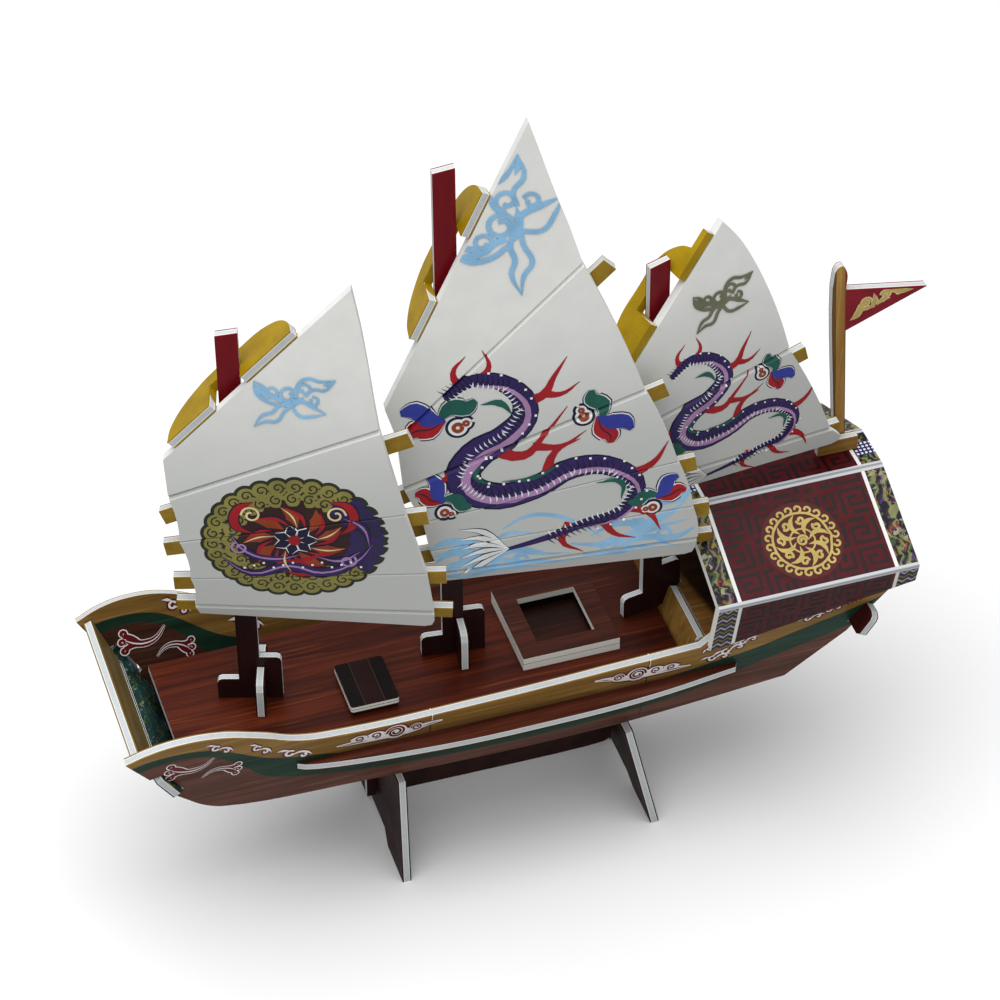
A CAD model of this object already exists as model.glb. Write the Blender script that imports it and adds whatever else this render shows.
from math import cos, pi, radians, sin

import bmesh
import bpy
from mathutils import Matrix, Vector


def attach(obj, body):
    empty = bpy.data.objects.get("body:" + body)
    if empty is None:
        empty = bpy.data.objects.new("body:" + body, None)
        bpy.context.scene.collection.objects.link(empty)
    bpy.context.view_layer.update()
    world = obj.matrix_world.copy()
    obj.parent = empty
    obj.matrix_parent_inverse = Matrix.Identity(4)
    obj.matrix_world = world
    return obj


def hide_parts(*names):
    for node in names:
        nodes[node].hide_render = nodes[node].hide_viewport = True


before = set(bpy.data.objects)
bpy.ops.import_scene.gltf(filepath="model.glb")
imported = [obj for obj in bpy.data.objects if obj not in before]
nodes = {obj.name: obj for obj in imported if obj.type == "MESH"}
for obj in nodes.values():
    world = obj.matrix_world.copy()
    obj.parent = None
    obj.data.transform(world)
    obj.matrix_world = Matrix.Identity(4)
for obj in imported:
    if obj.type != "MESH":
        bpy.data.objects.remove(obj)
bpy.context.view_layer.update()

# The view
# A long lens looks down from ahead and to port of the bow, about 1.2 m from the model.
# The eye's place and its three directions are those at which the boards' straight edges line up.

MM = 0.001
EYE = (-276.28, -858.65, 920.54)
TO_THE_RIGHT = (0.95181, -0.30661, -0.00688)
UPWARD = (0.20685, 0.62523, 0.75253)
BACKWARD = (-0.22643, -0.71769, 0.65852)
SENSOR_WIDE, FOCAL_LENGTH = 36, 134.86

camera = bpy.data.objects.new("camera", bpy.data.cameras.new("camera"))
camera.data.sensor_width = SENSOR_WIDE
camera.data.lens = FOCAL_LENGTH
camera.data.clip_start = 0.05
turned = Matrix((TO_THE_RIGHT, UPWARD, BACKWARD)).transposed().to_4x4()
camera.matrix_world = Matrix.Translation(Vector(EYE) * MM) @ turned
bpy.context.scene.collection.objects.link(camera)
bpy.context.scene.camera = camera

# The stand
# Two splayed foam boards and a bar on edge, slotted together and printed near black on both faces.
# The knife leaves their white foam core bare all round, with the paper skins as two brighter rims.

STAND_BOARDS = ("stand_front", "stand_rear", "stand_bar", "hull_bottom")
# distances from a board's middle plane, in metres: where the paper skin begins and turns fully bright,
# and where the print that is turned over the edge begins, is full and ends
SKIN = (0.00078, 0.00086)
WRAP, WRAP_END = (0.00106, 0.0011), 0.00155
SQUARE_ON = 0.7


def ink(red, green, blue):
    """A printed colour, as read from 0 to 255 on a screen, in the linear values that a shader takes."""
    parts = (red, green, blue)
    return tuple(((c / 255 + 0.055) / 1.055) ** 2.4 if c > 10 else c / 3294.6 for c in parts) + (1.0,)


def wire(tree, kind, inputs=(), **settings):
    """One node in a tree, its settings made and its sockets filled or linked."""
    made = tree.nodes.new("ShaderNode" + kind)
    for key, value in settings.items():
        setattr(made, key, value)
    for key, value in dict(inputs).items():
        if isinstance(value, bpy.types.NodeSocket):
            tree.links.new(value, made.inputs[key])
        else:
            made.inputs[key].default_value = value
    return made


def calc(tree, operation, first, second=0.0, third=0.0):
    return wire(tree, "Math", {0: first, 1: second, 2: third}, operation=operation).outputs[0]


def both(tree, first, second):
    """The product of two masks, or a mask at a share of its strength."""
    return calc(tree, "MULTIPLY", first, second)


def either(tree, first, second):
    return calc(tree, "MAXIMUM", first, second)


def above(tree, value, limit):
    return calc(tree, "GREATER_THAN", value, limit)


def below(tree, value, limit):
    return calc(tree, "LESS_THAN", value, limit)


def near_line(tree, value, middle, half):
    return below(tree, calc(tree, "ABSOLUTE", calc(tree, "SUBTRACT", value, middle)), half)


def between(tree, value, low, high):
    return near_line(tree, value, (low + high) / 2, (high - low) / 2)


def step_up(tree, value, low, high):
    """0 at low and 1 at high, with a soft edge between."""
    return wire(tree, "MapRange", {0: value, 1: low, 2: high}, interpolation_type="SMOOTHSTEP").outputs[0]


def blend_ink(tree, factor, first, second):
    return wire(tree, "Mix", {0: factor, 6: first, 7: second}, data_type="RGBA").outputs[2]


def overprint(tree, color, mask, share, tint):
    """A second ink over a colour wherever the mask is 1, at a share of its strength."""
    return blend_ink(tree, both(tree, mask, share), color, tint)


def mottle(tree, vector, scale, detail=3.0, roughness=0.5):
    values = {"Vector": vector, "Scale": scale, "Detail": detail, "Roughness": roughness}
    return wire(tree, "TexNoise", values).outputs["Fac"]


def scaled_place(tree, place, x, y, z):
    return wire(tree, "VectorMath", {0: place, 1: (x, y, z)}, operation="MULTIPLY").outputs[0]


def in_mm(tree, place):
    """The x, y and height of a place in millimetres, measured from the origin."""
    return wire(tree, "SeparateXYZ", {0: scaled_place(tree, place, 1000, 1000, 1000)}).outputs


def drifted(tree, place, x, y, z):
    """A place moved a little, so that a pattern on it wanders."""
    shift = wire(tree, "CombineXYZ", {0: x, 1: y, 2: z}).outputs[0]
    return wire(tree, "VectorMath", {0: place, 1: shift}, operation="ADD").outputs[0]


def dot(tree, first, second):
    return wire(tree, "VectorMath", {0: first, 1: second}, operation="DOT_PRODUCT").outputs["Value"]


def distance(tree, first, second):
    return wire(tree, "VectorMath", {0: first, 1: second}, operation="DISTANCE").outputs["Value"]


def true_normal(tree):
    return wire(tree, "NewGeometry").outputs["True Normal"]


def normal_parts(tree):
    return wire(tree, "SeparateXYZ", {0: true_normal(tree)}).outputs


def new_group(name, takes, gives):
    """An empty node group with named sockets: its tree, what it is given and what it puts out."""
    tree = bpy.data.node_groups.new(name, "ShaderNodeTree")
    for label, kind, value in takes:
        socket = tree.interface.new_socket(label, in_out="INPUT", socket_type="NodeSocket" + kind)
        socket.default_value = value
    for label, kind in gives:
        tree.interface.new_socket(label, in_out="OUTPUT", socket_type="NodeSocket" + kind)
    return tree, tree.nodes.new("NodeGroupInput").outputs, tree.nodes.new("NodeGroupOutput").inputs


def cut_board_group():
    """A board's cut edge: gray-white foam with beads, two bright paper skins, the print turned over them."""
    takes = [("Facing", "Vector", (0, 0, 1)), ("Depth", "Float", 0.0), ("Clean", "Float", 0.0)]
    gives = [("Printed", "Float"), ("Edge Color", "Color"), ("Edge Height", "Float")]
    tree, given, result = new_group("cut_board", takes, gives)
    place = wire(tree, "TexCoord").outputs["Object"]
    facing = dot(tree, true_normal(tree), given["Facing"])
    along = dot(tree, place, given["Facing"])
    from_middle = calc(tree, "ABSOLUTE", calc(tree, "SUBTRACT", along, given["Depth"]))
    wrapped = both(tree, step_up(tree, from_middle, *WRAP), below(tree, from_middle, WRAP_END))
    printed = either(tree, wrapped, above(tree, calc(tree, "ABSOLUTE", facing), SQUARE_ON))
    beads = wire(tree, "TexVoronoi", {"Vector": place, "Scale": 1500.0}).outputs["Distance"]
    foam = blend_ink(tree, step_up(tree, beads, 0.1, 0.75), ink(204, 209, 212), ink(194, 199, 203))
    dirt = step_up(tree, mottle(tree, place, 60.0), 0.45, 0.75)
    foam = overprint(tree, foam, dirt, 0.2, ink(170, 171, 170))
    foam = blend_ink(tree, given["Clean"], foam, ink(240, 240, 236))
    edge = blend_ink(tree, step_up(tree, from_middle, *SKIN), foam, ink(236, 235, 226))
    tree.links.new(edge, result["Edge Color"])
    tree.links.new(printed, result["Printed"])
    tree.links.new(calc(tree, "MULTIPLY", beads, -0.5), result["Edge Height"])
    return tree


CUT_BOARD = cut_board_group()


def mottled_ink_group():
    """A flat printed colour: soft clouds between two near shades, and the grain of the paper under it."""
    takes = [("Vector", "Vector", (0, 0, 0))]
    takes += [("Deep", "Color", (0, 0, 0, 1)), ("Pale", "Color", (1, 1, 1, 1))]
    tree, given, result = new_group("mottled_ink", takes, [("Color", "Color"), ("Height", "Float")])
    clouds = mottle(tree, given["Vector"], 130.0)
    grain = mottle(tree, given["Vector"], 1700.0, 2.0)
    share = calc(tree, "ADD", calc(tree, "MULTIPLY", clouds, 0.75), calc(tree, "MULTIPLY", grain, 0.25))
    color = blend_ink(tree, step_up(tree, share, 0.3, 0.7), given["Deep"], given["Pale"])
    tree.links.new(color, result["Color"])
    tree.links.new(grain, result["Height"])
    return tree


MOTTLED_INK = mottled_ink_group()


def flat_ink(tree, place, deep, pale):
    made = wire(tree, "Group", {"Vector": place, "Deep": deep, "Pale": pale}, node_tree=MOTTLED_INK)
    return made.outputs["Color"], made.outputs["Height"]


def flat_print(deep, pale):
    """The painter of a flat colour between two near shades."""
    return lambda tree, place: flat_ink(tree, place, ink(*deep), ink(*pale))


def flat_of(mesh):
    """The direction that a board's printed faces point in, and how far along it its middle plane lies."""
    areas = {}
    for face in mesh.polygons:
        key = tuple(round(abs(part), 2) for part in face.normal)
        areas.setdefault(key, []).append(face)
    widest = max(areas.values(), key=lambda faces: sum(face.area for face in faces))
    facing = widest[0].normal.copy()
    reach = [vertex.co.dot(facing) for vertex in mesh.vertices]
    return facing, (min(reach) + max(reach)) / 2


def new_finish(name, gloss):
    """A material, its tree, and the sockets of its shader, with that specular level."""
    made = bpy.data.materials.new(name)
    made.use_nodes = True
    shader = made.node_tree.nodes["Principled BSDF"].inputs
    shader["Specular IOR Level"].default_value = gloss
    return made, made.node_tree, shader


def raised(tree, shader, height, strength, depth):
    bump = wire(tree, "Bump", {"Height": height, "Strength": strength, "Distance": depth})
    tree.links.new(bump.outputs[0], shader["Normal"])


def printed_board(name, piece, painter, roughness=0.34, masked=None, clean=0.0):
    """Gives one board its own finish: painter's print on both faces and bare foam round the cut edge."""
    made, tree, shader = new_finish(name, 0.14)
    facing, depth = flat_of(piece.data)
    cut = wire(tree, "Group", {"Facing": facing, "Depth": depth, "Clean": clean}, node_tree=CUT_BOARD).outputs
    place = wire(tree, "TexCoord").outputs["Object"]
    color, height = painter(tree, place)
    printed = masked(tree, place, cut["Printed"]) if masked else cut["Printed"]
    tree.links.new(blend_ink(tree, printed, cut["Edge Color"], color), shader["Base Color"])
    scuffed = step_up(tree, mottle(tree, place, 90.0, 4.0), 0.3, 0.8)
    print_roughness = calc(tree, "MULTIPLY_ADD", scuffed, 0.12, roughness)
    rough = wire(tree, "Mix", {0: printed, 2: 0.8, 3: print_roughness}).outputs[0]
    tree.links.new(rough, shader["Roughness"])
    relief = wire(tree, "Mix", {0: printed, 2: cut["Edge Height"], 3: height}).outputs[0]
    raised(tree, shader, relief, 0.35, 0.00006)
    piece.data.materials.clear()
    piece.data.materials.append(made)


NEAR_BLACK = flat_print((30, 14, 13), (58, 30, 26))
for node in STAND_BOARDS:
    printed_board(node + "_print", nodes[node], NEAR_BLACK, 0.42)

# The hull's two sides
# Each side is one long curved board, printed alike on both faces: a tan wood band under the sheer,
# a dark green band that arches over the bow and comes up again at the stern, and red-brown planking below.


def wood_group():
    """Printed wood: broad bands along X, fine streaks in them and a few light threads."""
    takes = [("Vector", "Vector", (0, 0, 0)), ("Dark", "Color", (0, 0, 0, 1))]
    takes += [("Middle", "Color", (0.5, 0.5, 0.5, 1)), ("Light", "Color", (1, 1, 1, 1))]
    tree, given, result = new_group("printed_wood", takes, [("Color", "Color"), ("Height", "Float")])
    wavy = mottle(tree, scaled_place(tree, given["Vector"], 9, 30, 30), 1.0, 2.0)
    drift = calc(tree, "MULTIPLY", wavy, 0.006)
    place = drifted(tree, given["Vector"], 0.0, drift, drift)

    def grained(lengthways, crossways, detail, roughness, low, high):
        stretched = scaled_place(tree, place, lengthways, crossways, crossways)
        return step_up(tree, mottle(tree, stretched, 1.0, detail, roughness), low, high)

    bands = grained(10, 260, 4.0, 0.65, 0.3, 0.68)
    streaks = grained(34, 1300, 3.0, 0.6, 0.38, 0.7)
    threads = grained(22, 700, 2.0, 0.5, 0.6, 0.72)
    color = blend_ink(tree, bands, given["Dark"], given["Middle"])
    color = overprint(tree, color, streaks, 0.45, given["Dark"])
    color = overprint(tree, color, threads, 0.55, given["Light"])
    tree.links.new(color, result["Color"])
    tree.links.new(calc(tree, "SUBTRACT", bands, streaks), result["Height"])
    return tree


WOOD = wood_group()


def wood(tree, place, dark, middle, light):
    shades = {"Vector": place, "Dark": ink(*dark), "Middle": ink(*middle), "Light": ink(*light)}
    made = wire(tree, "Group", shades, node_tree=WOOD)
    return made.outputs["Color"], made.outputs["Height"]


def quarter_turned(tree, place, axis):
    return wire(tree, "VectorRotate", {"Vector": place, "Angle": radians(90)}, rotation_type=axis).outputs[0]


def wood_print(dark, middle, light, axis=None):
    """The painter of wood in three shades, grained along X or turned a quarter about an axis."""
    def paint(tree, place):
        grain = quarter_turned(tree, place, axis) if axis else place
        return wood(tree, grain, dark, middle, light)
    return paint


# The origin lies this far aft of the drawing's amidships, from which all the lengths below are measured.
MIDDLE_X = 4.8
BAND_X = (-140.0, 130.0)
BAND_Z = (40.0, 100.0)
TAN_FOOT = [
    # (x, height of the tan band's lower edge), from the bow aft
    (-135, 84.8), (-130, 87.2), (-124, 88.3), (-117, 88.4), (-110, 87.2), (-104, 84.6), (-97, 79.8),
    (-91, 75.6), (-85, 72.6), (-78, 70.6), (-70, 68.9), (-60, 66.0), (-20, 63.5), (20, 63.8), (45, 66.8),
    (55, 68.7), (65, 70.6), (72, 71.7), (80, 73.8), (90, 77.3), (100, 80.5), (110, 83.9), (122, 88.4),
]
GREEN_FOOT = [
    # (x, height of the green band's lower edge)
    (-135, 81.2), (-130, 82.8), (-124, 84.6), (-117, 85.0), (-110, 83.4), (-104, 79.8), (-99, 75.0),
    (-95, 70.3), (-91, 65.2), (-87, 62.0), (-80, 59.4), (-70, 56.6), (-40, 51.6), (0, 49.5), (25, 50.4),
    (45, 52.8), (60, 56.0), (72, 61.2), (80, 64.0), (90, 67.0), (100, 70.2), (110, 73.6), (122, 77.2),
]


def band_edge(tree, place, foot):
    """1 above a curved line across the side and 0 below it."""
    (x0, x1), (z0, z1) = BAND_X, BAND_Z
    curve = tree.nodes.new("ShaderNodeFloatCurve")
    points = curve.mapping.curves[0].points
    while len(points) < len(foot):
        points.new(0.5, 0.5)
    for point, (x, z) in zip(points, foot):
        point.location = ((x - x0) / (x1 - x0), (z - z0) / (z1 - z0))
    curve.mapping.update()
    parts = wire(tree, "SeparateXYZ", {0: place}).outputs
    along = wire(tree, "MapRange", {0: parts[0], 1: (x0 - MIDDLE_X) * MM, 2: (x1 - MIDDLE_X) * MM})
    tree.links.new(along.outputs[0], curve.inputs["Value"])
    line = calc(tree, "MULTIPLY_ADD", curve.outputs[0], (z1 - z0) * MM, z0 * MM)
    return step_up(tree, calc(tree, "SUBTRACT", parts[2], line), -0.0002, 0.0002)


SEAMS = [
    # (x, lower end, upper end) of the joints between the three boards that make a side
    (-34.5, 62.8, 79.6),
    (39.5, 47.5, 83.0),
]
SEAM_HALF = 0.17
SEAM_CORE_LONG = 6.8


def side_print(tree, place):
    """The three bands and the seams; the inboard face is printed a shade deeper, most of all in its brown."""
    x, y, z = in_mm(tree, place)
    inboard = below(tree, both(tree, normal_parts(tree)[1], y), 0.0)
    brown, _ = wood(tree, place, (80, 46, 36), (112, 70, 56), (134, 92, 74))
    brown = overprint(tree, brown, inboard, 0.45, ink(26, 15, 8))
    green, _ = wood(tree, place, (20, 48, 36), (34, 68, 52), (58, 86, 66))
    tan, relief = wood(tree, place, (124, 90, 44), (160, 124, 62), (180, 146, 84))
    color = blend_ink(tree, band_edge(tree, place, GREEN_FOOT), brown, green)
    color = blend_ink(tree, band_edge(tree, place, TAN_FOOT), color, tan)
    for at, foot, head in SEAMS:
        at -= MIDDLE_X
        gap = both(tree, near_line(tree, x, at, SEAM_HALF), between(tree, z, foot, head))
        beside = near_line(tree, x, at + 2 * SEAM_HALF, SEAM_HALF)
        core = both(tree, beside, between(tree, z, head - SEAM_CORE_LONG, head))
        color = blend_ink(tree, gap, color, ink(40, 26, 18))
        color = blend_ink(tree, core, color, ink(226, 222, 210))
    return overprint(tree, color, inboard, 0.24, ink(22, 14, 6)), relief


for hand in ("port", "starboard"):
    printed_board("side_print_" + hand, nodes["hull_side_" + hand], side_print, 0.36)

# The boards between the sides
# The bow's and the stern's cross boards stand between the sides or pass through notches in them.
# The bow transom shows olive-brown wood inboard, the ramps a painterly teal green, the stern a dark red.


def teal_paint(tree, place):
    flecks = step_up(tree, mottle(tree, place, 620.0, 5.0, 0.75), 0.55, 0.62)
    clouds = step_up(tree, mottle(tree, place, 110.0), 0.3, 0.7)
    base = blend_ink(tree, clouds, ink(14, 32, 32), ink(34, 66, 60))
    hue = step_up(tree, mottle(tree, place, 260.0, 1.0), 0.42, 0.58)
    tint = blend_ink(tree, hue, ink(70, 112, 150), ink(168, 160, 78))
    return overprint(tree, base, flecks, 0.72, tint), flecks


# the ramp's direction and depth, and how far its printed edges reach forward and to each side
RAMP_FACING, RAMP_DEPTH = (0.847, 0.0, 0.531), -68.9
RAMP_PRINTED_TO, RAMP_HALF = -0.95, 30.5


def ramp_rim(tree, place, printed):
    """Between the sides the ramp's edges are printed too, but for a fine white line along their front."""
    along = dot(tree, scaled_place(tree, place, 1000, 1000, 1000), RAMP_FACING)
    behind = above(tree, calc(tree, "SUBTRACT", along, RAMP_DEPTH), RAMP_PRINTED_TO)
    return either(tree, printed, both(tree, behind, near_line(tree, in_mm(tree, place)[1], 0.0, RAMP_HALF)))


CROSS_FINISHES = {
    "bow_transom": (wood_print((96, 78, 42), (142, 118, 68), (172, 150, 98), "Z_AXIS"), None),
    "bow_ramp": (teal_paint, ramp_rim),
    "bow_lower_ramp": (teal_paint, None),
    "stern_transom": (flat_print((50, 14, 15), (76, 26, 26)), None),
    "stern_ramp": (wood_print((84, 50, 40), (116, 76, 62), (138, 98, 80)), None),
}
for node, (painter, rim) in CROSS_FINISHES.items():
    printed_board(node + "_print", nodes[node], painter, masked=rim)

# The decks
# The main deck, both rubbing rails and the large hatch are printed as rosewood, grained fore and aft.
# The raised poop deck and its bulkhead are printed as tan wood. The deck reaches close to the port side.

BOARD = 3.0
DECK_TOP = 75.0
DECK_EDGE = [
    # (x, y) round the main deck
    (52.2, -27.7), (-84.0, -27.7), (-97.0, -21.0), (-115.0, -21.0), (-115.0, 21.0),
    (-84.0, 21.0), (-74.0, 23.0), (-56.0, 23.2), (-50.0, 27.7), (52.2, 27.7),
]


def finished(name, mesh, inks, smooth=30):
    """Makes an object of a mesh whose place is already in it, with its finishes, and rides it on the hull."""
    data = bpy.data.meshes.new(name)
    bmesh.ops.recalc_face_normals(mesh, faces=mesh.faces)
    mesh.to_mesh(data)
    mesh.free()
    for finish in inks:
        data.materials.append(finish)
    data.polygons.foreach_set("use_smooth", [smooth > 0] * len(data.polygons))
    if smooth:
        data.set_sharp_from_angle(angle=radians(smooth))
    piece = bpy.data.objects.new(name, data)
    bpy.context.scene.collection.objects.link(piece)
    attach(piece, "root")
    return piece


def thickened(mesh, faces, shift):
    """Gives flat faces a thickness by drawing them out to a second, parallel face."""
    drawn = bmesh.ops.extrude_face_region(mesh, geom=faces)["geom"]
    corners = [part for part in drawn if isinstance(part, bmesh.types.BMVert)]
    bmesh.ops.translate(mesh, verts=corners, vec=shift)


def flat_board(name, edge, top, thick, bevel=0.0):
    """A level board of that (x, y) edge, its corners eased by a bevel."""
    board = bmesh.new()
    face = board.faces.new([board.verts.new(Vector((x - MIDDLE_X, y, top)) * MM) for x, y in edge])
    thickened(board, [face], (0, 0, -thick * MM))
    if bevel:
        heights = [(side, abs(side.verts[0].co.z - side.verts[1].co.z)) for side in board.edges]
        upright = [side for side, height in heights if height > 0.5 * thick * MM]
        bmesh.ops.bevel(
            board, geom=upright, offset=bevel * MM, segments=3, profile=0.5, affect="EDGES", material=-1
        )
    return finished(name, board, [])


LARGE_HATCH = {"x": (0.7, 33.8), "y": (-19.9, 14.7), "hole_x": (7.4, 27.2), "hole_y": (-13.4, 8.2)}
HATCH_TOP, HATCH_LAYER = 80.0, 2.4
LAYERS_MEET = HATCH_TOP - HATCH_LAYER


def within_the_hatch(tree, place, spare):
    """1 over the hatch's opening and for spare millimetres round it."""
    x, y, _ = in_mm(tree, place)
    (x0, x1), (y0, y1) = LARGE_HATCH["hole_x"], LARGE_HATCH["hole_y"]
    lengthways = between(tree, x, x0 - MIDDLE_X - spare, x1 - MIDDLE_X + spare)
    return both(tree, lengthways, between(tree, y, y0 - spare, y1 + spare))


def deck_print(tree, place):
    """Rosewood, deeper towards the bulkhead and near black inside the hatch."""
    color, relief = wood(tree, place, (52, 15, 7), (94, 37, 17), (118, 56, 28))
    x, y, _ = in_mm(tree, place)
    color = overprint(tree, color, step_up(tree, x, 12, 46), 0.5, ink(22, 8, 6))
    shade = calc(tree, "MULTIPLY_ADD", step_up(tree, y, -12, 4), 0.35, 0.55)
    return overprint(tree, color, within_the_hatch(tree, place, 0.2), shade, ink(18, 8, 7)), relief


def hatch_print(tree, place):
    """Rosewood on top, near black wherever the lower layer is printed."""
    color, relief = wood(tree, place, (46, 16, 10), (80, 38, 27), (104, 56, 40))
    return blend_ink(tree, step_up(tree, in_mm(tree, place)[2], 79.2, 78.8), color, ink(18, 9, 8)), relief


def hatch_rim(tree, place, printed):
    """The hatch's edges are white, with a fine line between its layers; inside, the lower layer is dark."""
    height = in_mm(tree, place)[2]
    level = calc(tree, "ABSOLUTE", normal_parts(tree)[2])
    faces = both(tree, printed, above(tree, level, SQUARE_ON))
    line = near_line(tree, height, LAYERS_MEET, 0.08)
    inner = both(tree, within_the_hatch(tree, place, 0.3), below(tree, height, LAYERS_MEET))
    return either(tree, either(tree, faces, line), inner)


def poop_wood(tree, place):
    """Tan wood that runs to near black under the cabin."""
    color, relief = wood(tree, place, (96, 62, 30), (132, 92, 46), (152, 112, 64))
    x, y, _ = in_mm(tree, place)
    inside = step_up(tree, calc(tree, "MULTIPLY_ADD", y, 0.17, x), 55.6, 58.5)
    return overprint(tree, color, inside, 0.9, ink(10, 7, 6)), relief


deck = flat_board("main_deck_board", DECK_EDGE, DECK_TOP, BOARD)
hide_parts("main_deck")
printed_board("main_deck_print", deck, deck_print, 0.3)

# the large hatch: a square frame of two layers glued together, open in the middle
frame_mesh = bmesh.new()
rings = []
for (x0, x1), (y0, y1) in (
    (LARGE_HATCH["x"], LARGE_HATCH["y"]),
    (LARGE_HATCH["hole_x"], LARGE_HATCH["hole_y"]),
):
    corners = [(x0, y0), (x1, y0), (x1, y1), (x0, y1)]
    rings.append([frame_mesh.verts.new(Vector((x - MIDDLE_X, y, HATCH_TOP)) * MM) for x, y in corners])
outer, inner = rings
for corner in range(4):
    frame_mesh.faces.new((outer[corner], outer[corner - 3], inner[corner - 3], inner[corner]))
thickened(frame_mesh, frame_mesh.faces[:], (0, 0, (DECK_TOP - HATCH_TOP) * MM))
hatch = finished("large_hatch_frame", frame_mesh, [])
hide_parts("large_hatch")
printed_board("large_hatch_print", hatch, hatch_print, 0.3, hatch_rim, 0.9)

RAIL_WOOD = wood_print((50, 22, 15), (92, 45, 32), (116, 66, 46))
TAN_WOOD = ((110, 78, 36), (150, 112, 56), (172, 136, 78))
DECK_FINISHES = {
    "rail_port": RAIL_WOOD,
    "rail_starboard": RAIL_WOOD,
    "poop_deck": poop_wood,
    "poop_bulkhead": wood_print(*TAN_WOOD, "Y_AXIS"),
    "flag_foot": wood_print(*TAN_WOOD),
}
for node, painter in DECK_FINISHES.items():
    printed_board(node + "_print", nodes[node], painter, 0.3)

# The small hatch
# A low box, dark on its sides, under a thin glossy lid of two layers, printed with brown planks between two
# fine lines.

LID_EDGE = [(-58.6, -23.2), (-42.3, -23.2), (-42.3, -2.4), (-58.6, -2.4)]
LID_MIDDLE_X = -50.4
LID_TOP, LID_THICK = 79.0, 2.1
BOX_TOP = 76.8


def lid_planks(tree, place):
    along = calc(tree, "SUBTRACT", in_mm(tree, place)[0], LID_MIDDLE_X - MIDDLE_X)
    from_middle = calc(tree, "ABSOLUTE", along)
    dark, relief = flat_ink(tree, place, ink(8, 3, 3), ink(18, 6, 6))
    color = blend_ink(tree, step_up(tree, from_middle, 3.4, 3.0), dark, ink(32, 10, 9))
    return overprint(tree, color, near_line(tree, from_middle, 3.3, 0.12), 0.3, ink(100, 82, 74)), relief


def between_layers(tree, place, printed):
    """A fine dark line parts the two layers of the lid."""
    return either(tree, printed, near_line(tree, in_mm(tree, place)[2], LID_TOP - LID_THICK / 2, 0.1))


def below_the_lid(tree, place, printed):
    return either(tree, printed, below(tree, in_mm(tree, place)[2], BOX_TOP))


lid = flat_board("small_hatch_cover", LID_EDGE, LID_TOP, LID_THICK, 1.0)
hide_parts("small_hatch_lid")
printed_board("small_hatch_lid_print", lid, lid_planks, 0.2, between_layers, 0.9)
printed_board("small_hatch_box_print", nodes["small_hatch_box"], NEAR_BLACK, 0.3, below_the_lid)

# The masts
# Each mast is one upright board, near black where it stands on deck and dark red above the sail's middle.
# Two of them are locked by a cross board on the deck.


def mast_print(tree, place):
    weave = mottle(tree, scaled_place(tree, place, 500, 500, 60), 1.0)
    low = blend_ink(tree, weave, ink(28, 12, 14), ink(52, 24, 24))
    high = blend_ink(tree, weave, ink(98, 4, 16), ink(126, 12, 24))
    return blend_ink(tree, step_up(tree, in_mm(tree, place)[2], 130, 180), low, high), weave


for node in ("fore_mast", "main_mast", "mizzen_mast", "fore_mast_cross", "main_mast_cross"):
    printed_board(node + "_print", nodes[node], mast_print)

# The yards and battens
# A rounded gold board stands on each slanted luff, and a gold strip lies behind every crease of a sail.

GOLD_PRINT = flat_print((154, 124, 10), (174, 142, 22))
BRASS_PRINT = flat_print((132, 102, 26), (160, 128, 42))
MASTS = {
    # name: (x, y of the mast's middle, degrees that its board and its sail are turned aft of port)
    "fore": (-86.5, -2.9, -18.0),
    "main": (-18.2, -2.9, -7.0),
    "mizzen": (50.0, -3.4, 10.0),
}
NOTCH_REACH = 6.2
MIZZEN_LUFF_FACING = (0.17, -0.98, 0.0)


def yard_faces(name):
    """The yard is printed in the notch round its mast too, and the mizzen's along its whole straight edge."""
    def masked(tree, place, printed):
        x, y, _ = MASTS[name]
        level = scaled_place(tree, place, 1000, 1000, 0)
        printed = either(tree, printed, below(tree, distance(tree, level, (x - MIDDLE_X, y, 0)), NOTCH_REACH))
        if name != "mizzen":
            return printed
        return either(tree, printed, above(tree, dot(tree, true_normal(tree), MIZZEN_LUFF_FACING), 0.9))
    return masked


for node in sorted(nodes):
    if node.endswith("_yard"):
        printed_board(node + "_print", nodes[node], GOLD_PRINT, 0.34, yard_faces(node[:-5]))
    if "_batten_" in node:
        printed_board(node + "_print", nodes[node], BRASS_PRINT)

# The sails
# Each sail is one foam board, scored across its printed face and bent a little at every score, with a
# batten behind. The top panel's score and the one above the narrow hem are the widest.

CREASES = {
    # rows from the peak down: (along the sail, height, out to port at the luff), and the same at the leech
    "fore": [
        (38.0, 244.6, 3.5, 38.0, 244.6, 3.5),
        (-20.0, 169.2, 9.8, 45.1, 195.4, 9.8),
        (-17.5, 152.7, 11.5, 52.2, 163.5, 11.5),
        (-15.0, 136.8, 10.8, 58.1, 138.6, 10.8),
        (-14.6, 124.4, 9.6, 60.1, 121.0, 9.6),
        (-13.3, 119.5, 7.6, 60.3, 113.5, 7.6),
    ],
    "main": [
        (24.7, 286.0, 3.5, 24.7, 286.0, 3.5),
        (-17.8, 176.9, 9.8, 40.1, 236.2, 9.8),
        (-16.6, 158.9, 12.5, 59.5, 186.3, 12.5),
        (-11.2, 145.6, 14.0, 70.2, 157.0, 14.0),
        (-9.2, 133.7, 14.5, 75.4, 138.0, 14.5),
        (-6.0, 123.2, 14.2, 77.2, 123.6, 14.2),
        (-5.5, 118.2, 12.0, 76.9, 115.8, 12.0),
    ],
    "mizzen": [
        (19.5, 230.2, 3.5, 19.5, 230.2, 3.5),
        (-17.6, 160.6, 7.4, 42.0, 176.4, 10.5),
        (-12.8, 139.1, 8.0, 59.4, 136.8, 10.5),
        (-11.2, 131.5, 6.6, 64.4, 128.3, 8.8),
    ],
}
LUFF_CORNER = {"fore": (-20.9, 182.7, 7.5), "main": (-21.0, 187.8, 7.5), "mizzen": (-19.4, 178.0, 6.6)}
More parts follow.
